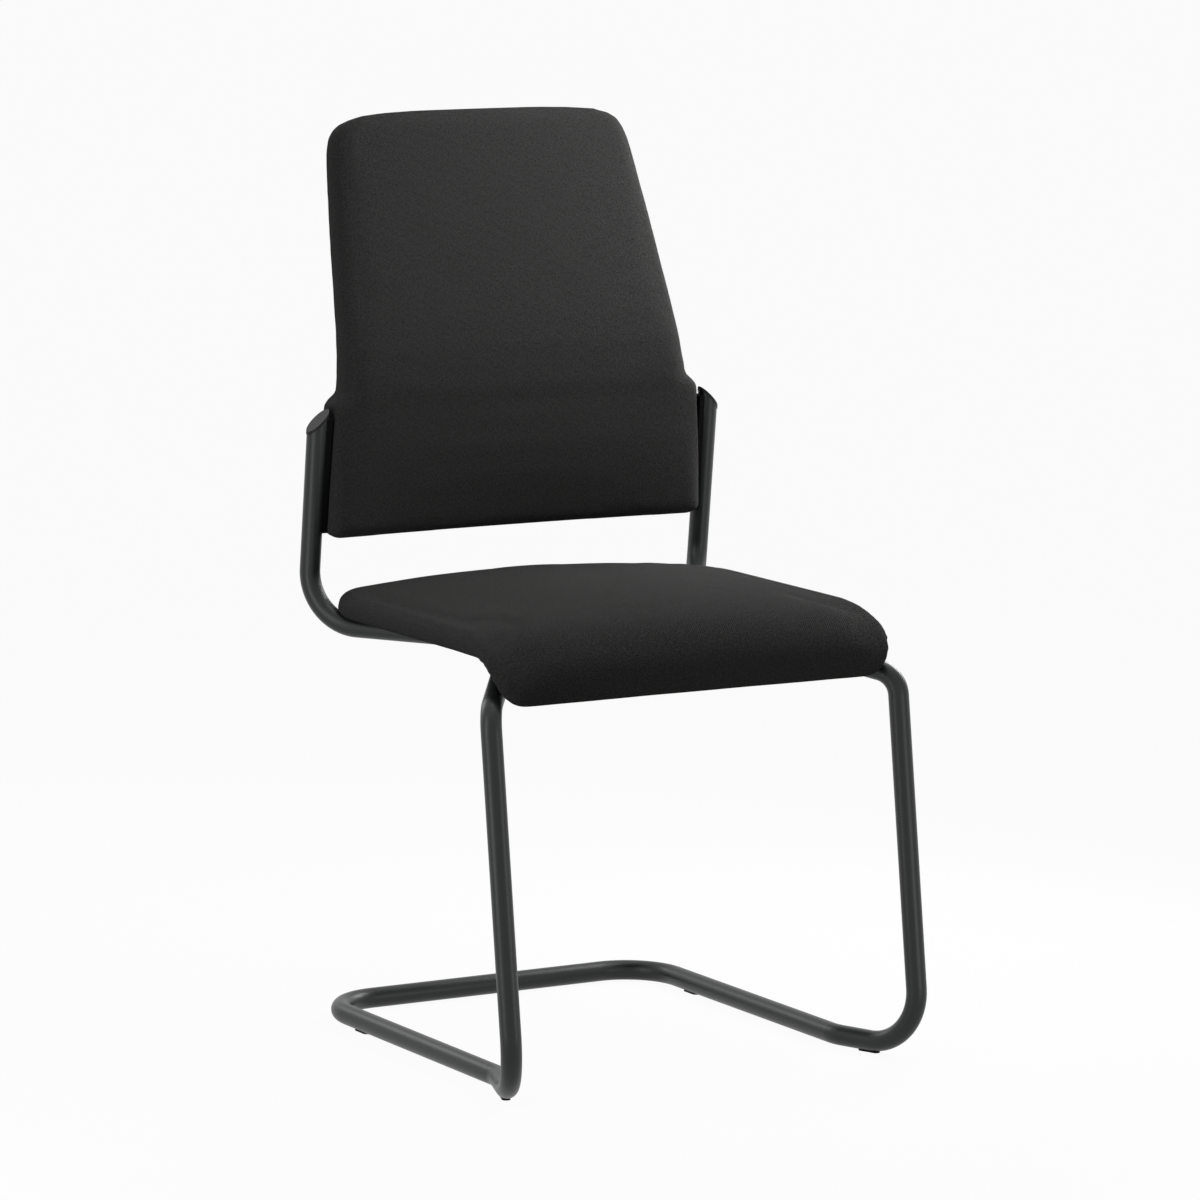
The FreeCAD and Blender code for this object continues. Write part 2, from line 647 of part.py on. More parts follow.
def tab_block(gap):
    """Right-hand steel tab as a plain plate, grown by gap, reaching past the tube's skin."""
    outer = UPRIGHT_X - TUBE_BORE_R
    size = V(outer - TAB_INNER_X + gap, TAB_THICKNESS + 2 * gap, TAB_HEIGHT + 2 * gap)
    low = V(TAB_INNER_X - gap, TAB_FRONT_Y - gap, TAB_LOW_Z - gap)
    plate = Part.makeBox(size.x, size.y, size.z, low)
    inner = [edge for edge in plate.Edges
             if edge.BoundBox.XMax < low.x + FLAT and edge.BoundBox.YLength > TAB_THICKNESS - FLAT]
    return turned(plate.makeFillet(TAB_CORNER, inner))


def tab_screw_heights():
    return [TAB_LOW_Z + TAB_SCREW_INSET, TAB_TOP_Z - TAB_SCREW_INSET]


def along_y(radius, start, end, z):
    """Cylinder on a tab screw's axis, between two places along it."""
    return turned(Part.makeCylinder(radius, end - start, V(TAB_SCREW_X, start, z), V(0, 1, 0)))


def back_tab(tube_skin):
    """Steel tab welded to the inner side of the right-hand upright."""
    tab = tab_block(0).cut(tube_skin)
    for z in tab_screw_heights():
        tab = tab.cut(along_y(BACK_SCREW_R + SCREW_CLEARANCE, SHELL_FRONT_Y, SHELL_REAR_Y, z))
    return tab


def side_strip(tube_skin):
    """Plastic strip that fills the gap between the right-hand upright and the pad."""
    middle = V(0, upright_y((STRIP_LOW_Z + STRIP_TOP_Z) / 2), (STRIP_LOW_Z + STRIP_TOP_Z) / 2)
    low = V(BACK_LOW_HALF_WIDTH + STRIP_PAD_GAP, middle.y - STRIP_DEPTH / 2, STRIP_LOW_Z)
    strip = Part.makeBox(TUBE_R, STRIP_DEPTH, STRIP_TOP_Z - STRIP_LOW_Z, low)
    strip.rotate(middle, V(1, 0, 0), UPRIGHT_LEAN_DEG)
    return strip.cut(tube_skin).cut(tab_block(FIT))


def back_pieces():
    """Cloth cover, rear pad, shell and front foam of the back, with slots for the tabs."""
    far = 2 * BACK_EDGE
    wide = -BACK_EDGE / 2
    core = back_form(CLOTH + SOFT_GAP)
    cover = back_form(0).cut(back_form(CLOTH))
    rear_pad = core.common(back_slab(-far, SHELL_START - SOFT_GAP, wide))
    shell = back_slab(SHELL_START, SHELL_END, SHELL_INSET)
    foam = core.cut(back_slab(-far, SHELL_START, wide))
    foam = foam.cut(back_slab(-far, SHELL_END + SOFT_GAP, SHELL_INSET - SOFT_GAP))
    slot = tab_block(SOFT_GAP)
    rear_face = SHELL_REAR_Y + BACK_EDGE
    for hand in (lambda shape: shape, mirrored):
        cover = cover.cut(hand(slot))
        foam = foam.cut(hand(slot))
        shell = shell.cut(hand(slot))
        for z in tab_screw_heights():
            insert = along_y(INSERT_R + FIT, SHELL_FRONT_Y - BACK_EDGE, TAB_FRONT_Y, z)
            shank = along_y(BACK_SCREW_R + SCREW_CLEARANCE, TAB_FRONT_Y, rear_face, z)
            recess = along_y(BACK_SCREW_HEAD_R + FIT, SHELL_REAR_Y - BACK_SCREW_HEAD - FIT, rear_face, z)
            shell = shell.cut(hand(insert)).cut(hand(shank)).cut(hand(recess))
    return {"back_cover": [cover], "back_rear_pad": [rear_pad], "back_shell": [shell], "back_foam": [foam]}


def back_fasteners():
    """Screws from behind through the tabs, and brass inserts in the front wall of the shell."""
    screws = []
    inserts = []
    head_y = SHELL_REAR_Y - BACK_SCREW_HEAD
    for z in tab_screw_heights():
        head = along_y(BACK_SCREW_HEAD_R, head_y, SHELL_REAR_Y, z)
        screw = head.fuse(along_y(BACK_SCREW_R, SHELL_FRONT_Y + INSERT_SETBACK, head_y, z))
        body = along_y(INSERT_R, SHELL_FRONT_Y + INSERT_SETBACK, TAB_FRONT_Y - SOFT_GAP, z)
        insert = body.cut(along_y(BACK_SCREW_R + FIT / 2, SHELL_FRONT_Y - 1, TAB_FRONT_Y, z))
        screws += [screw, mirrored(screw)]
        inserts += [insert, mirrored(insert)]
    return {"back_screws": screws, "back_inserts": inserts}


def build():
    """Every node of the chair by name, each a list of solids."""
    right_upright = upright()
    right_base = base_half()
    skin = rod(TUBE_R, V(UPRIGHT_X, upright_y(RAIL_Z), RAIL_Z),
               V(UPRIGHT_X, upright_y(UPRIGHT_TOP_Z + TUBE_R), UPRIGHT_TOP_Z + TUBE_R))
    clear_skin = rod(TUBE_R + FIT, V(UPRIGHT_X, upright_y(RAIL_Z), RAIL_Z),
                     V(UPRIGHT_X, upright_y(UPRIGHT_TOP_Z + TUBE_R), UPRIGHT_TOP_Z + TUBE_R))
    nodes = {
        "upright_right": [right_upright],
        "upright_left": [mirrored(right_upright)],
        "base_tube_right": [right_base],
        "base_tube_left": [mirrored(right_base)],
        "tube_spigots": spigots(),
        "seat_strap_front": [strap(STRAP_FRONT_Y, RAIL_X)],
        "seat_strap_rear": [strap(STRAP_REAR_Y, rear_rail_x(STRAP_REAR_Y))],
    }
    for place, (centre, along) in glide_places().items():
        foot = glide(centre, along)
        nodes["glide_" + place + "_right"] = [foot]
        nodes["glide_" + place + "_left"] = [mirrored(foot)]
    for name, piece in (("end_cap", end_cap()), ("back_tab", back_tab(skin)),
                        ("side_strip", side_strip(clear_skin))):
        nodes[name + "_right"] = [piece]
        nodes[name + "_left"] = [mirrored(piece)]
    nodes.update(seat_pieces())
    nodes.update(seat_fasteners())
    nodes.update(back_pieces())
    nodes.update(back_fasteners())
    return nodes


def export(nodes):
    """Centre the chair front to back over the origin and write one file per node."""
    os.makedirs("parts", exist_ok=True)
    whole = Part.makeCompound([solid for solids in nodes.values() for solid in solids])
    box = whole.optimalBoundingBox(False, False)
    shift = V(0, -(box.YMin + box.YMax) / 2, 0)
    print("shift", round(shift.y, 3), "height", round(box.ZMax, 2), "floor", round(box.ZMin, 4))
    for name, solids in nodes.items():
        shape = solids[0] if len(solids) == 1 else Part.makeCompound(solids)
        shape.translate(shift)
        count = len(shape.Solids)
        print(name, "solids", count, "valid", shape.isValid(), "cm3", round(shape.Volume / 1000, 2))
        shape.exportStep("parts/" + name + ".step")


export(build())
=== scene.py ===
# %% [markdown]
# # Cantilever visitor chair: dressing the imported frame
# The steel frame, the caps, strips and straps come finished from the CAD model. This lesson gives
# them their surfaces, turns the plain seat and back solids into upholstered cushions, and sets up
# the studio. Everything is in metres: the front of the chair looks along -Y and the floor is z = 0.

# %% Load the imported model
import math

import bmesh
import bpy
import numpy as np
from mathutils import Matrix, Vector


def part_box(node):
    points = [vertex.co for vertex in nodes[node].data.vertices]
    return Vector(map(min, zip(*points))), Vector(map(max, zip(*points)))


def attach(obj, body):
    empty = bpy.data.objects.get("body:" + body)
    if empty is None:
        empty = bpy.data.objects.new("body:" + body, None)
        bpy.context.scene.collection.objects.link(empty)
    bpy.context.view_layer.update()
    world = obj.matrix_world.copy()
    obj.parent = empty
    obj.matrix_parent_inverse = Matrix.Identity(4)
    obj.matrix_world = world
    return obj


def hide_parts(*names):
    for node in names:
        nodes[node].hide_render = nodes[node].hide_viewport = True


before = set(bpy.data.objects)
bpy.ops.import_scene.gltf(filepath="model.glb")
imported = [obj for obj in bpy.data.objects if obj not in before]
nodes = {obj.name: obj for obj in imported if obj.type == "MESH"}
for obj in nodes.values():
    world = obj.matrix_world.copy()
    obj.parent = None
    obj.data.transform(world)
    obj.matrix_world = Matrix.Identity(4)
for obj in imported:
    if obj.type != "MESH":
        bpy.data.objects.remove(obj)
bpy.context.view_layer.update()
MM = 0.001

# %% [markdown]
# ## Camera
# The photograph was taken with a long lens from the front left, about 1.5 m above the floor. A
# camera is easiest to repeat when it is written as an angle round the chair, an angle above the
# floor, a small roll and a distance, and not as a matrix. The lens and the distance together set
# how strongly the far side of the chair shrinks.

# %% Camera
AZIMUTH = math.radians(-30.624)
ELEVATION = math.radians(8.787)
ROLL = math.radians(0.534)
DISTANCE = 6.5461
AIM_RIGHT = 0.0111
AIM_UP = 0.4636
AIM_ORIGIN = Vector((0, -0.00882, 0.00225))
LENS_PER_FRAME = 5.0942
SENSOR = 36.0
NEAR, FAR = 0.1, 200.0

toward_camera = Vector((math.sin(AZIMUTH) * math.cos(ELEVATION),
                        -math.cos(AZIMUTH) * math.cos(ELEVATION), math.sin(ELEVATION)))
level_right = (-toward_camera).cross(Vector((0, 0, 1))).normalized()
level_up = level_right.cross(-toward_camera)
camera_right = level_right * math.cos(ROLL) + level_up * math.sin(ROLL)
camera_up = level_up * math.cos(ROLL) - level_right * math.sin(ROLL)

camera_data = bpy.data.cameras.new("camera")
camera_data.sensor_width = SENSOR
camera_data.lens = LENS_PER_FRAME * SENSOR
camera_data.clip_start, camera_data.clip_end = NEAR, FAR
camera = bpy.data.objects.new("camera", camera_data)
axes = Matrix((camera_right, camera_up, toward_camera)).transposed()
camera.matrix_world = axes.to_4x4()
camera.location = (AIM_ORIGIN + toward_camera * DISTANCE
                   + camera_right * AIM_RIGHT + camera_up * AIM_UP)
bpy.context.scene.collection.objects.link(camera)
bpy.context.scene.camera = camera
print("camera at", [round(v, 3) for v in camera.location], "lens", round(camera_data.lens, 1))

# %% [markdown]
# ## A helper for node materials
# Every finish below is a small node tree. Writing `tree.add("Bump", Strength=0.2)` is shorter than
# the four lines that Blender's own calls take, and it keeps the numbers next to the words.


# %% Node helper
class Tree:
    """A material's node tree, with short calls that add and join nodes."""

    def __init__(self, name):
        self.material = bpy.data.materials.new(name)
        self.material.use_nodes = True
        self.nodes = self.material.node_tree.nodes
        self.links = self.material.node_tree.links
        self.nodes.clear()
        self.output = self.nodes.new("ShaderNodeOutputMaterial")

    def add(self, kind, setup=None, **sockets):
        """Adds a node. Sockets take numbers, colours or the outputs of other nodes."""
        node = self.nodes.new("ShaderNode" + kind)
        for key, value in (setup or {}).items():
            setattr(node, key, value)
        for key, value in sockets.items():
            self.put(node, key.replace("_", " "), value)
        return node

    def put(self, node, socket, value):
        target = node.inputs[int(socket) if socket.isdigit() else socket]
        if isinstance(value, bpy.types.NodeSocket):
            self.links.new(value, target)
        else:
            target.default_value = value

    def math(self, operation, first, second=0.0):
        node = self.add("Math", {"operation": operation})
        self.put(node, "0", first)
        self.put(node, "1", second)
        return node.outputs[0]

    def ramp(self, value, low, high):
        """Maps 0 to 1 onto low to high, clamped."""
        node = self.add("MapRange", Value=value)
        node.inputs["To Min"].default_value = low
        node.inputs["To Max"].default_value = high
        return node.outputs[0]

    def blend(self, share, first, second):
        """Mixes two colours by a share."""
        node = self.add("Mix", {"data_type": "RGBA"})
        self.put(node, "0", share)
        self.put(node, "6", first)
        self.put(node, "7", second)
        return node.outputs[2]

    def surface(self, shader):
        self.links.new(shader.outputs[0], self.output.inputs["Surface"])
        return self.material


def grey(value, warm=0.0):
    """A near-neutral colour; warm lifts the red and lowers the blue a little."""
    return (value * (1 + warm), value, value * (1 - warm), 1.0)


print("helpers ready")

# %% [markdown]
# ## Powder coat on the steel tube
# The tube is steel with a satin black powder coat. Powder melts into a skin with a faint orange
# peel, so the highlights along the tube are soft bands with slightly uneven edges. A dark base
# under a broad gloss gives the bands, and two sizes of noise give the peel and the small changes
# of gloss. The pattern is on Object coordinates, so it stays on the tube in every view.


# %% Powder coat
PEEL_SCALE, PATCH_SCALE = 900.0, 38.0
PEEL_DEPTH = 0.2 * MM
COAT_DARK, COAT_PALE = (0.0085, 0.0105, 0.0105, 1), (0.012, 0.014, 0.014, 1)
COAT_GLOSS = (0.34, 0.42)


def powder_coat():
    """Satin black powder coat with a faint orange peel."""
    tree = Tree("powder_coat")
    place = tree.add("TexCoord").outputs["Object"]
    peel = tree.add("TexNoise", Vector=place, Scale=PEEL_SCALE, Detail=2.0)
    patches = tree.add("TexNoise", Vector=place, Scale=PATCH_SCALE, Detail=3.0)
    colour = tree.blend(patches.outputs[0], COAT_DARK, COAT_PALE)
    gloss = tree.ramp(patches.outputs[0], *COAT_GLOSS)
    bump = tree.add("Bump", Height=peel.outputs[0], Strength=0.14, Distance=PEEL_DEPTH)
    return tree.surface(tree.add("BsdfPrincipled", Base_Color=colour, Roughness=gloss,
                                 Normal=bump.outputs[0], Specular_IOR_Level=0.36))


coat = powder_coat()
print(coat.name, len(coat.node_tree.nodes), "nodes")

# %% [markdown]
# ## Moulded plastic
# The slanted caps, the side strips, the glides and the hidden shell are injection-moulded. Moulds
# are spark-eroded, which leaves a fine grain that spreads the highlight. One function makes each
# plastic from its colour, roughness, grain and shine, because they differ in nothing else.


# %% Plastics
CLOUD_SCALE = 60.0
ERODED_DEPTH = 0.2 * MM


def moulded(name, tone, gloss, grain, shine):
    """A moulded plastic from its grey, roughness, grain per metre and shine."""
    tree = Tree(name)
    place = tree.add("TexCoord").outputs["Object"]
    eroded = tree.add("TexVoronoi", Vector=place, Scale=grain)
    cloudy = tree.add("TexNoise", Vector=place, Scale=CLOUD_SCALE, Detail=4.0)
    colour = tree.blend(cloudy.outputs[0], grey(tone * 0.9), grey(tone * 1.1))
    rough = tree.ramp(cloudy.outputs[0], gloss - 0.04, gloss + 0.05)
    bump = tree.add("Bump", Height=eroded.outputs["Distance"], Strength=0.12,
                    Distance=ERODED_DEPTH)
    return tree.surface(tree.add("BsdfPrincipled", Base_Color=colour, Roughness=rough,
                                 Normal=bump.outputs[0], Specular_IOR_Level=shine))


cap_plastic = moulded("cap_plastic", 0.03, 0.55, 1400.0, 0.12)
strip_plastic = moulded("strip_plastic", 0.004, 0.65, 1400.0, 0.06)
glide_plastic = moulded("glide_plastic", 0.01, 0.6, 1100.0, 0.1)
shell_plastic = moulded("shell_plastic", 0.04, 0.5, 900.0, 0.5)
print("plastics", cap_plastic.name, strip_plastic.name, glide_plastic.name, shell_plastic.name)

# %% [markdown]
# ## Bare metal, plywood and felt
# Seen from below, the chair shows zinc-plated screw heads, the felt under the seat and a little of
# the straps. The plywood pan, the spigots, nuts and brass inserts are hidden in the real chair too,
# but each gets its own finish, because the model can be taken apart.


# %% Hidden and small parts
SCRATCH_SCALE = (900.0, 900.0, 60.0)
PLY_GRAIN_SCALE = (14.0, 120.0, 700.0)
FIBRE_SCALE, FIBRE_DEPTH = 1300.0, 0.4 * MM


def metal(name, colour, gloss):
    """Bare metal with fine scratches along the height."""
    tree = Tree(name)
    place = tree.add("TexCoord").outputs["Object"]
    stretched = tree.add("Mapping", Vector=place, Scale=SCRATCH_SCALE)
    scratches = tree.add("TexNoise", Vector=stretched.outputs[0], Scale=1.0, Detail=3.0)
    tint = tree.blend(scratches.outputs[0], [c * 0.85 for c in colour] + [1], list(colour) + [1])
    rough = tree.ramp(scratches.outputs[0], gloss, gloss + 0.15)
    return tree.surface(tree.add("BsdfPrincipled", Base_Color=tint, Roughness=rough, Metallic=1.0))


def plywood():
    """Pale plywood with its grain across the seat."""
    tree = Tree("plywood")
    place = tree.add("TexCoord").outputs["Object"]
    stretched = tree.add("Mapping", Vector=place, Scale=PLY_GRAIN_SCALE)
    grain = tree.add("TexNoise", Vector=stretched.outputs[0], Scale=1.0, Detail=6.0, Distortion=0.4)
    colour = tree.blend(grain.outputs[0], (0.42, 0.27, 0.14, 1), (0.68, 0.5, 0.31, 1))
    return tree.surface(tree.add("BsdfPrincipled", Base_Color=colour, Roughness=0.62))


def felt():
    """Black felt of loose fibres."""
    tree = Tree("lining_felt")
    place = tree.add("TexCoord").outputs["Object"]
    fibre = tree.add("TexNoise", Vector=place, Scale=FIBRE_SCALE, Detail=5.0, Distortion=2.0)
    colour = tree.blend(fibre.outputs[0], grey(0.008), grey(0.032))
    bump = tree.add("Bump", Height=fibre.outputs[0], Strength=0.5, Distance=FIBRE_DEPTH)
    return tree.surface(tree.add("BsdfPrincipled", Base_Color=colour, Roughness=0.95,
                                 Normal=bump.outputs[0], Sheen_Weight=0.2))


zinc = metal("zinc_plate", (0.55, 0.56, 0.58), 0.28)
brass = metal("brass", (0.72, 0.52, 0.25), 0.25)
birch = plywood()
lining_felt = felt()
print("finishes", zinc.name, brass.name, birch.name, lining_felt.name)

# %% [markdown]
# ## Give the CAD pieces their finishes
# Their shapes are right as they are, so each keeps its object and only gets a material. The covers
# and foams aren't in the list, because cushions take their place further down.

# %% Finishes of the CAD pieces
FINISHES = {
    "upright": coat, "base_tube": coat, "seat_strap": coat, "back_tab": coat,
    "end_cap": cap_plastic, "side_strip": strip_plastic, "glide": glide_plastic,
    "back_shell": shell_plastic, "seat_pan": birch, "seat_lining": lining_felt,
    "tube_spigots": zinc, "seat_screws": zinc, "seat_nuts": zinc, "back_screws": zinc,
    "back_inserts": brass,
}
finished = {}
for name, node in nodes.items():
    finish = next((m for start, m in FINISHES.items() if name.startswith(start)), None)
    if finish is not None:
        node.data.materials.clear()
        node.data.materials.append(finish)
        finished[name] = finish.name
print("finished", len(finished), "CAD pieces with", len(set(finished.values())), "materials")

# %% [markdown]
# ## Cushion blanks
# A moulded foam pad under a tight cloth cover has no hard edge anywhere. The CAD solids give the
# outside and the place. A copy of them is voxel remeshed into one closed skin of even squares,
# which is what a cloth simulation needs. Squares cut across a slope leave small steps, so the skin
# is smoothed, and after each smoothing step a slightly stronger step the other way keeps the
# cushion from shrinking.

# %% Cushion blank
VOXEL = 5 * MM
WELD = 0.01 * MM
SMOOTH_ROUNDS = 6
SMOOTH_IN, SMOOTH_OUT = 0.5, -0.53


def applied(piece):
    """Replaces a piece's mesh by what its modifiers make of it."""
    depsgraph = bpy.context.evaluated_depsgraph_get()
    mesh = bpy.data.meshes.new_from_object(piece.evaluated_get(depsgraph))
    piece.modifiers.clear()
    piece.data = mesh
    return piece


def points_of(piece):
    """A piece's points as an array, one row each."""
    return np.array([v.co for v in piece.data.vertices])


def set_points(piece, points):
    """Writes an array of points back to a piece."""
    piece.data.vertices.foreach_set("co", points.astype(np.float32).ravel())
    piece.data.update()


def neighbour_mean(piece, values):
    """For each point, the mean of its neighbours' values."""
    pairs = np.array([e.vertices[:] for e in piece.data.edges])
    total = np.zeros_like(values)
    count = np.zeros((len(values), 1))
    for here, there in ((0, 1), (1, 0)):
        np.add.at(total, pairs[:, here], values[pairs[:, there]])
        np.add.at(count, pairs[:, here], 1.0)
    return total / np.maximum(count, 1.0)


def keep_largest(bm):
    """Removes every loose island but the one with the most vertices."""
    left, islands = set(bm.verts), []
    while left:
        island, front = set(), [left.pop()]
        while front:
            vert = front.pop()
            island.add(vert)
            for edge in vert.link_edges:
                other = edge.other_vert(vert)
                if other in left:
                    left.remove(other)
                    front.append(other)
        islands.append(island)
    islands.sort(key=len)
    for island in islands[:-1]:
        bmesh.ops.delete(bm, geom=list(island), context="VERTS")


def cushion_blank(name, sources):
    """One closed even skin round the outside of some CAD solids."""
    bm = bmesh.new()
    for source in sources:
        bm.from_mesh(nodes[source].data)
    bmesh.ops.remove_doubles(bm, verts=bm.verts, dist=WELD)
    mesh = bpy.data.meshes.new(name)
    bm.to_mesh(mesh)
    bm.free()
    piece = bpy.data.objects.new(name, mesh)
    bpy.context.scene.collection.objects.link(piece)
    remesh = piece.modifiers.new("remesh", "REMESH")
    remesh.mode, remesh.voxel_size = "VOXEL", VOXEL
    applied(piece)
    bm = bmesh.new()
    bm.from_mesh(piece.data)
    keep_largest(bm)
    bm.to_mesh(piece.data)
    bm.free()
    points = points_of(piece)
    for _ in range(SMOOTH_ROUNDS):
        points += SMOOTH_IN * (neighbour_mean(piece, points) - points)
        points += SMOOTH_OUT * (neighbour_mean(piece, points) - points)
    set_points(piece, points)
    print(name, "blank", len(points), "points")
    return piece


# %% [markdown]
# ## Swelling the cushions
# Cloth with an inside pressure stretches over the blank as a sewn cover does over foam: flat parts
# rise, edges stay back and the sides pull in between the corners. The pressure swells it, so the
# simulation starts from a skin drawn in a little. Gravity is off, and the side that rests on the
# pan is pinned. Firm foam shows no wrinkles, so the way that each point has moved is smoothed over
# its neighbours, and none moves further out than the cap, or further in than a much smaller one:
# the cushion keeps its solid's outline, and its sides stay next to the strips.

# %% Swelling
FRAMES = 20
QUALITY = 6
CLOTH_MASS = 0.3
STIFFNESS = 25.0
PRESSURE = 4.0
DRAW_IN = 1 * MM
MOVE_ROUNDS = 30
OUTWARD_CAP, INWARD_CAP = 3 * MM, 0.2 * MM


def swell(piece, pinned=()):
    """Runs the cloth simulation on a piece and keeps its smoothed and capped result."""
    blank = points_of(piece)
    normals = np.array([v.normal for v in piece.data.vertices])
    set_points(piece, blank - normals * DRAW_IN)
    cloth = piece.modifiers.new("cloth", "CLOTH")
    settings = cloth.settings
    settings.quality = QUALITY
    settings.mass = CLOTH_MASS
    settings.tension_stiffness = settings.compression_stiffness = STIFFNESS
    settings.use_pressure = True
    settings.uniform_pressure_force = PRESSURE
    settings.effector_weights.gravity = 0.0
    if pinned:
        group = piece.vertex_groups.new(name="rest")
        group.add(pinned, 1.0, "REPLACE")
        settings.vertex_group_mass = "rest"
    cloth.point_cache.frame_start, cloth.point_cache.frame_end = 1, FRAMES
    scene = bpy.context.scene
    for number in range(1, FRAMES + 1):
        scene.frame_set(number)
    applied(piece)
    scene.frame_set(1)
    move = points_of(piece) - blank
    for _ in range(MOVE_ROUNDS):
        move = neighbour_mean(piece, move)
    along = (move * normals).sum(axis=1, keepdims=True)
    move -= normals * np.minimum(along + INWARD_CAP, 0.0)
    length = np.linalg.norm(move, axis=1, keepdims=True)
    move *= np.minimum(1.0, OUTWARD_CAP / np.maximum(length, 1e-9))
    set_points(piece, blank + move)
    print(piece.name, "moved", round(float(length.mean()) / MM, 2), "mm on average, at most",
          round(float(length.max()) / MM, 2), "and capped at", round(OUTWARD_CAP / MM, 1))
    return piece


def finish_skin(piece):
    """Adds one subdivision and shades it smooth."""
    finer = piece.modifiers.new("finer", "SUBSURF")
    finer.levels = finer.render_levels = 1
    applied(piece)
    piece.data.polygons.foreach_set("use_smooth", [True] * len(piece.data.polygons))
    return piece


# %% [markdown]
# ## Lay the weave on the cushions
# The cloth is a fine plain weave. Its threads run across and along the chair, so the cushions get
# a UV map in metres: each face is laid flat from the side that it looks to most. The threads are
# so fine that the change from one side to the next can't be seen.

# %% Cloth map
FLAT_SIDES = {0: (1, 2), 1: (0, 2), 2: (0, 1)}


def lay_cloth(piece):
    """Writes a UV map in metres, seen square on from each face's main side."""
    bm = bmesh.new()
    bm.from_mesh(piece.data)
    layer = bm.loops.layers.uv.new("cloth")
    bm.normal_update()
    for face in bm.faces:
        main = max(range(3), key=lambda axis: abs(face.normal[axis]))
        across, along = FLAT_SIDES[main]
        for loop in face.loops:
            loop[layer].uv = (loop.vert.co[across], loop.vert.co[along])
    bm.to_mesh(piece.data)
    bm.free()
    return piece


# %% [markdown]
# ## The cloth
# Near-black cloth with a fine grain: in raking light the crowns of the threads catch it, and the
# fibres that stand up give a soft pale rim where the cushion turns away. Two sets of threads cross
# over and under each other. The height of the upper one drives the bump, and it also paints the
# colour darker in the low parts of the weave: painted shade between the threads. Slubs make single
# threads lighter, and Sheen gives the rim.


# %% Cloth material
PITCH = 1.15 * MM
TONE = 0.038
WANDER_SCALE, WANDER = 260.0, 0.7 * MM
SLUB_SCALE = 430.0
WEAVE_SHARE = 0.45
RELIEF_DEPTH = 1.1 * MM


def woven(name, rim):
    """Plain-weave cloth; rim is how strongly its standing fibres catch light at the edges."""
    tree = Tree(name)
    threads = tree.add("UVMap", {"uv_map": "cloth"}).outputs[0]
    wander = tree.add("TexNoise", Vector=threads, Scale=WANDER_SCALE, Detail=2.0)
    shift = tree.add("VectorMath", {"operation": "SCALE"}, Scale=WANDER)
    tree.put(shift, "0", wander.outputs["Color"])
    moved = tree.add("VectorMath", {"operation": "ADD"})
    tree.put(moved, "0", threads)
    tree.put(moved, "1", shift.outputs[0])
    parts = tree.add("SeparateXYZ", Vector=moved.outputs[0])
    across = tree.math("MULTIPLY", parts.outputs[0], 1 / PITCH)
    along = tree.math("MULTIPLY", parts.outputs[1], 1 / PITCH)
    warp = tree.math("ABSOLUTE", tree.math("SINE", tree.math("MULTIPLY", across, math.pi)))
    weft = tree.math("ABSOLUTE", tree.math("SINE", tree.math("MULTIPLY", along, math.pi)))
    cells = tree.math("ADD", tree.math("FLOOR", across), tree.math("FLOOR", along))
    over = tree.math("PINGPONG", cells, 1.0)
    height = tree.add("Mix", {"data_type": "FLOAT"})
    tree.put(height, "0", over)
    tree.put(height, "2", warp)
    tree.put(height, "3", weft)
    slubs = tree.add("TexNoise", Vector=threads, Scale=SLUB_SCALE, Detail=4.0, Roughness=0.7)
    weave = tree.math("MULTIPLY", height.outputs[0], WEAVE_SHARE)
    relief_and_painted_shade = tree.math("ADD", weave, slubs.outputs[0])
    # Painted shade: the colour is darker where the weave lies low, between the threads; the slubs
    # add lighter threads of their own.
    colour = tree.blend(tree.ramp(relief_and_painted_shade, -0.5, 1.1), grey(TONE * 0.2), grey(TONE * 1.9, 0.012))
    bump = tree.add("Bump", Height=relief_and_painted_shade, Strength=0.7, Distance=RELIEF_DEPTH)
    return tree.surface(tree.add("BsdfPrincipled", Base_Color=colour, Roughness=0.9,
                                 Normal=bump.outputs[0], Sheen_Weight=rim, Sheen_Roughness=0.35,
                                 Sheen_Tint=grey(0.5, 0.02), Specular_IOR_Level=0.0))


seat_cloth = woven("seat_cloth", 0.06)
back_cloth = woven("back_cloth", 0.14)
print("cloth", seat_cloth.name, back_cloth.name)

# %% [markdown]
# ## Seat cushion
# The seat is one pad that falls over the front rail and comes down in a soft lip. Its underside
# lies flat on the plywood pan, so those points are pinned. The roll over the rail is fuller in the
# middle than a quarter circle: points there move out onto a squarer curve, a superellipse whose
# power is ROLL_FULLNESS. The change fades towards the sides and towards the inside of the pad.

# %% Roll of the seat's front
seat_low, seat_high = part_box("seat_cover")
ROLL_LENGTH = 100 * MM
ROLL_HEIGHT = seat_high.z - seat_low.z
ROLL_FULLNESS = 3.1
ROLL_FADE_IN = (0.78, 0.95)
LIP_FALL_BACK = 11 * MM
LIP_HEIGHT = 50 * MM
LIP_FRONT = (0.8, 0.97)
FULL_TO_X, GONE_BY_X = 0.175, 0.232
LEAST_REACH = 0.1


def ease(value, start, end):
    """0 below start, 1 above end and smooth between them."""
    share = np.clip((value - start) / (end - start), 0, 1)
    return share * share * (3 - 2 * share)


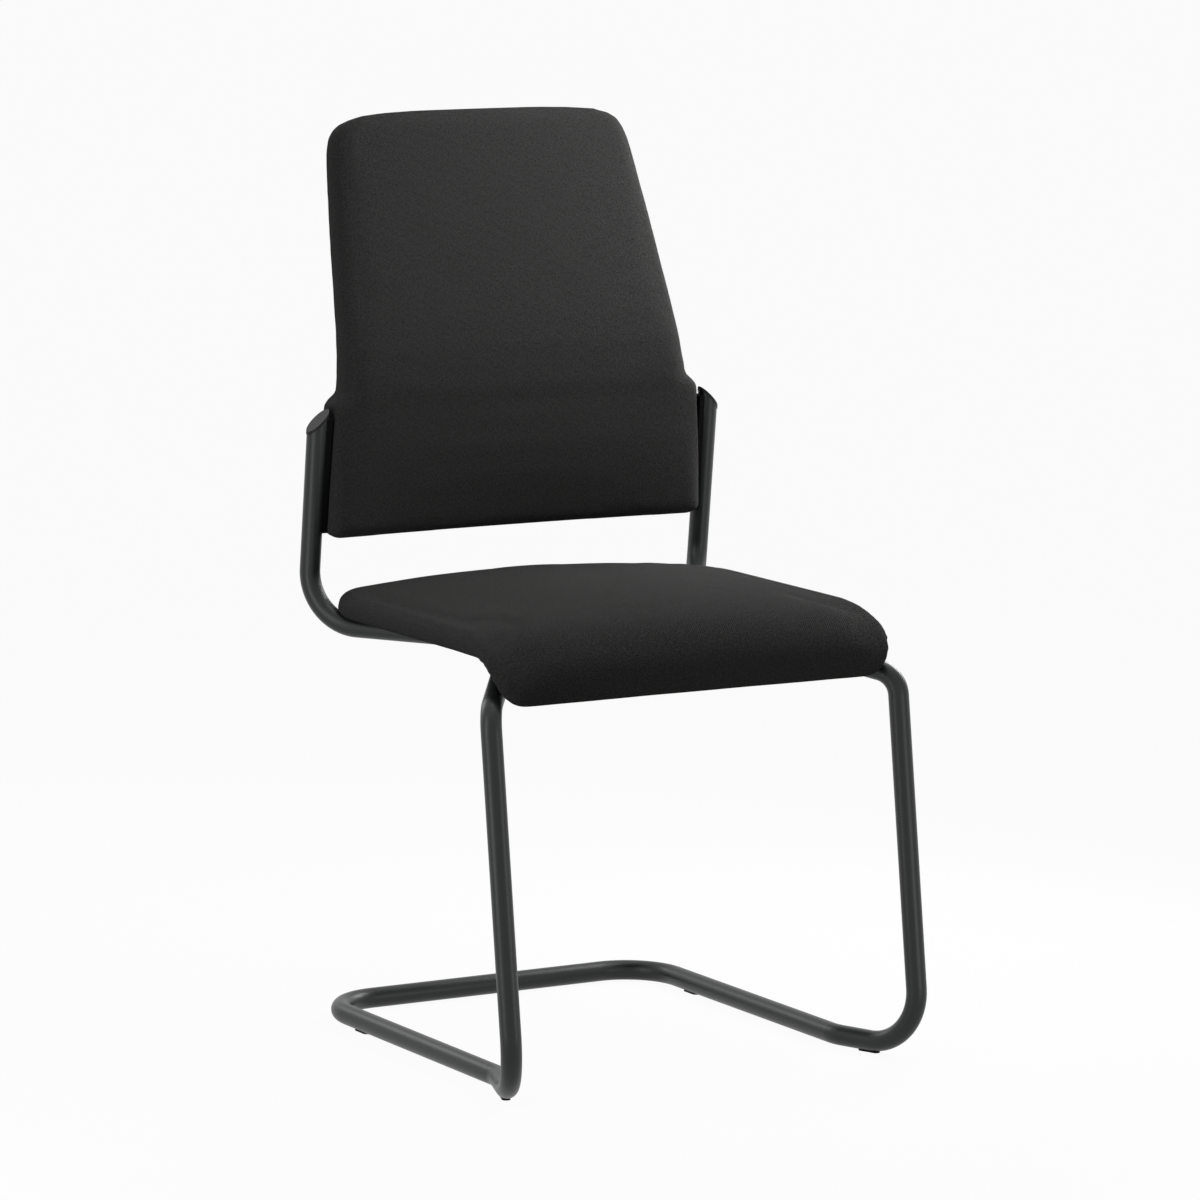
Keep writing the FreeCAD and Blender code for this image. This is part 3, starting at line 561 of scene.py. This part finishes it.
def fill_roll(piece):
    """Fills out the roll over the front rail, and lets the lip fall back under it."""
    points = points_of(piece)
    forward = (seat_low.y + ROLL_LENGTH - points[:, 1]) / ROLL_LENGTH
    upward = (points[:, 2] - seat_low.z) / ROLL_HEIGHT
    reach = np.maximum(np.hypot(forward, upward), LEAST_REACH)
    shape = (np.abs(forward / reach) ** ROLL_FULLNESS + np.abs(upward / reach) ** ROLL_FULLNESS)
    fuller = shape ** (-1 / ROLL_FULLNESS) - 1
    middle = 1 - ease(np.abs(points[:, 0]), FULL_TO_X, GONE_BY_X)
    share = ease(reach, *ROLL_FADE_IN) * middle * (forward > 0) * (upward > 0)
    points[:, 1] -= forward * ROLL_LENGTH * fuller * share
    points[:, 2] += upward * ROLL_HEIGHT * fuller * share
    low = np.clip(1 - upward * ROLL_HEIGHT / LIP_HEIGHT, 0, 1) ** 2
    points[:, 1] += LIP_FALL_BACK * low * ease(forward, *LIP_FRONT) * middle
    set_points(piece, points)
    return piece


# %% Seat cushion
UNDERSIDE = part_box("seat_lining")[0].z
window_low, window_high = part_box("seat_lining")
RESTING_DEPTH = 6 * MM
RESTING_FRONT = window_low.y - 20 * MM

seat = cushion_blank("seat_cushion", ["seat_cover", "seat_foam", "seat_pan", "seat_lining"])
fill_roll(seat)
resting = [v.index for v in seat.data.vertices
           if v.co.z < UNDERSIDE + RESTING_DEPTH and v.co.y > RESTING_FRONT]
swell(seat, resting)
finish_skin(seat)
print("seat cushion", len(seat.data.polygons), "faces")

# %% [markdown]
# ### The hem under the seat
# Below, the cloth is turned in and stapled round the edge of the pan, and the felt lies in the
# opening that it leaves. The cushion's skin is pushed up inside that opening, so the felt shows.

# %% Hem
RECESS = 4 * MM
EDGE = 1.5 * MM
HEM_FRONT = window_low.y - 10 * MM

for vert in seat.data.vertices:
    inside = (window_low.x - EDGE < vert.co.x < window_high.x + EDGE
              and window_low.y - EDGE < vert.co.y < window_high.y + EDGE)
    if vert.co.z < UNDERSIDE + RECESS and inside:
        vert.co.z = UNDERSIDE + RECESS
    elif vert.co.z < UNDERSIDE + RECESS and vert.co.y > HEM_FRONT:
        vert.co.z = max(vert.co.z, UNDERSIDE)
lay_cloth(seat)
seat.data.materials.append(seat_cloth)
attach(seat, "root")
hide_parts("seat_cover", "seat_foam")
print("hem at", round(UNDERSIDE, 4))

# %% [markdown]
# ## Back cushion
# The back is a thicker pad on a plastic shell. It is straight up to a little above the tube ends,
# then leans back and narrows, and its front is hollow from side to side. The front of its sides
# bulges a little over the dark strips, so that less of them shows, and its shoulders are lifted
# next to the caps.

# %% Sides of the back cushion
strip_low, strip_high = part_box("side_strip_right")
STRIP_DEPTH = 15 * MM
SIDE_BULGE = 3.6 * MM
OUTER_FROM, OUTER_TO = 0.192, 0.222
BULGE_BEHIND, BULGE_END = 7 * MM, 0.5 * MM
SHOULDER_LIFT = 5 * MM
SHOULDER_Z = 0.668
BULGE_FADE = 30 * MM
LIFT_FROM, LIFT_FULL, LIFT_GONE = 40 * MM, 8 * MM, 55 * MM


def wrap_strips(piece):
    """Lets the front bulge over the strips, and lifts the shoulders next to the caps."""
    points = points_of(piece)
    side, height = np.abs(points[:, 0]), points[:, 2]
    rise = np.clip((height - strip_low.z) / (strip_high.z - strip_low.z), 0, 1)
    strip_front = (strip_high.y - STRIP_DEPTH) * (1 - rise) + strip_low.y * rise
    outer = ease(side, OUTER_FROM, OUTER_TO)
    before = 1 - ease(points[:, 1], strip_front - BULGE_BEHIND, strip_front - BULGE_END)
    below = 1 - ease(height, SHOULDER_Z, SHOULDER_Z + BULGE_FADE)
    points[:, 0] += np.sign(points[:, 0]) * SIDE_BULGE * outer * before * below
    near = ease(height, SHOULDER_Z - LIFT_FROM, SHOULDER_Z) * (
        1 - ease(height, SHOULDER_Z + LIFT_FULL, SHOULDER_Z + LIFT_GONE))
    points[:, 2] += SHOULDER_LIFT * outer * near
    set_points(piece, points)
    return piece


# %% Back cushion
back = cushion_blank("back_cushion", ["back_cover", "back_foam", "back_rear_pad", "back_shell"])
swell(back)
wrap_strips(back)
finish_skin(back)
lay_cloth(back)
back.data.materials.append(back_cloth)
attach(back, "root")
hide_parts("back_cover", "back_foam", "back_rear_pad")
print("back cushion", len(back.data.polygons), "faces")

# %% [markdown]
# ## Studio
# A pale floor that runs out of the picture, a white surround and soft lamps. The floor and the
# surround show white to the camera and in reflections, and send only a dark grey's light back to
# the chair, so that the black cloth keeps its dark front. The floor keeps a small part of its own
# shading towards the camera, which leaves a trace of the chair's shadow on it.

# %% Floor
FLOOR_HALF = 60.0
FLOOR_SEEN = (0.93, 0.95)
FLOOR_FELT = 0.2
GLOW_SHARE = 0.95


def floor_paint():
    """White to the camera and in reflections, dark grey to the light that it sends back."""
    tree = Tree("floor_paint")
    path = tree.add("LightPath")
    shown = tree.math("MAXIMUM", path.outputs["Is Camera Ray"], path.outputs["Is Glossy Ray"])
    place = tree.add("TexCoord").outputs["Object"]
    mottle = tree.add("TexNoise", Vector=place, Scale=3.0, Detail=2.0)
    pale = tree.blend(mottle.outputs[0], *(grey(v) for v in FLOOR_SEEN))
    colour = tree.blend(shown, grey(FLOOR_FELT), pale)
    matt = tree.add("BsdfDiffuse", Color=colour)
    glow = tree.add("Emission", Color=grey(1.0), Strength=1.0)
    mix = tree.add("MixShader")
    tree.put(mix, "0", tree.math("MULTIPLY", shown, GLOW_SHARE))
    tree.links.new(matt.outputs[0], mix.inputs[1])
    tree.links.new(glow.outputs[0], mix.inputs[2])
    return tree.surface(mix)


bm = bmesh.new()
bmesh.ops.create_grid(bm, x_segments=2, y_segments=2, size=FLOOR_HALF)
floor_mesh = bpy.data.meshes.new("floor")
bm.to_mesh(floor_mesh)
bm.free()
floor = bpy.data.objects.new("floor", floor_mesh)
bpy.context.scene.collection.objects.link(floor)
floor.data.materials.append(floor_paint())
print("floor", 2 * FLOOR_HALF, "m wide")

# %% Surround
SURROUND_FELT, SURROUND_SEEN = 0.06, 1.0

world = bpy.data.worlds.new("surround")
bpy.context.scene.world = world
world.use_nodes = True
world_nodes, world_links = world.node_tree.nodes, world.node_tree.links
world_nodes.clear()
path = world_nodes.new("ShaderNodeLightPath")
shown = world_nodes.new("ShaderNodeMath")
shown.operation = "MAXIMUM"
shiny = world_nodes.new("ShaderNodeMath")
shiny.operation = "MAXIMUM"
world_links.new(path.outputs["Is Glossy Ray"], shiny.inputs[0])
world_links.new(path.outputs["Is Transmission Ray"], shiny.inputs[1])
world_links.new(path.outputs["Is Camera Ray"], shown.inputs[0])
world_links.new(shiny.outputs[0], shown.inputs[1])
plain = world_nodes.new("ShaderNodeBackground")
plain.inputs["Color"].default_value = grey(SURROUND_FELT)
white = world_nodes.new("ShaderNodeBackground")
white.inputs["Color"].default_value = grey(SURROUND_SEEN)
mix = world_nodes.new("ShaderNodeMixShader")
world_links.new(shown.outputs[0], mix.inputs[0])
world_links.new(plain.outputs[0], mix.inputs[1])
world_links.new(white.outputs[0], mix.inputs[2])
world_output = world_nodes.new("ShaderNodeOutputWorld")
world_links.new(mix.outputs[0], world_output.inputs["Surface"])
print("surround", world.name)


# %% [markdown]
# ## Lamps
# The photograph's light can be read from the chair. The back is brightest at its right edge and the
# seat at its top, and the seat's front is dark, so one lamp hangs close overhead, one stands at the
# right, level with the back, and a small one is close to the right edge. Every upright tube has two
# soft bands, a third and three quarters of the way across: a tall box at the left and a low one at
# the right of the chair give them. A weak lamp behind the chair and an even sun keep the other
# sides and the floor readable.

# %% Lamps
def aimed(light, source):
    """Turns a lamp so that it shines from a direction."""
    light.rotation_mode = "QUATERNION"
    light.rotation_quaternion = source.to_track_quat("Z", "Y")
    bpy.context.scene.collection.objects.link(light)
    return light


def box_lamp(name, place, size, power, aim):
    """A soft box of a width and height in metres, aimed at a point."""
    data = bpy.data.lights.new(name, "AREA")
    data.shape = "RECTANGLE"
    data.size, data.size_y = size
    data.energy = power
    light = bpy.data.objects.new(name, data)
    light.location = place
    return aimed(light, Vector(place) - Vector(aim))


def sun_lamp(name, direction, strength, spread):
    """A soft sun from an azimuth and an elevation in degrees."""
    azimuth, elevation = (math.radians(v) for v in direction)
    data = bpy.data.lights.new(name, "SUN")
    data.energy = strength
    data.angle = math.radians(spread)
    return aimed(bpy.data.objects.new(name, data),
                 Vector((math.sin(azimuth) * math.cos(elevation),
                         -math.cos(azimuth) * math.cos(elevation), math.sin(elevation))))


MIDDLE = (0.0, 0.0, 0.6)
BACK_FOOT = (0.0, 0.05, 0.6)
BACK_EDGE = (0.17, 0.22, 0.84)
RUNNERS = (0.0, 0.0, 0.26)

# Each box: its place, its width and height, its power in watts and the point that it looks at.
BOX_LAMPS = {
    "overhead_box": ((0.2, 0.0, 1.4), (0.6, 0.6), 3.0, BACK_FOOT),
    "side_box": ((1.0, 0.25, 0.9), (0.6, 0.6), 10.0, BACK_FOOT),
    "edge_box": ((0.45, 0.02, 0.93), (0.2, 0.2), 0.9, BACK_EDGE),
    "left_box": ((-1.15, -0.30, 0.6), (0.4, 1.2), 4.0, MIDDLE),
    "right_box": ((0.42, -1.13, 0.26), (0.36, 0.5), 1.5, RUNNERS),
    "rear_box": ((-0.7, 1.5, 1.2), (0.8, 0.8), 6.0, MIDDLE),
}
for name, values in BOX_LAMPS.items():
    box_lamp(name, *values)
sun_lamp("even_sun", (0, 85), 0.3, 60)

# %% [markdown]
# ## Picture
# The Standard view keeps the white surround white and changes no colour.

# %% Picture settings
bpy.context.scene.view_settings.view_transform = "Standard"
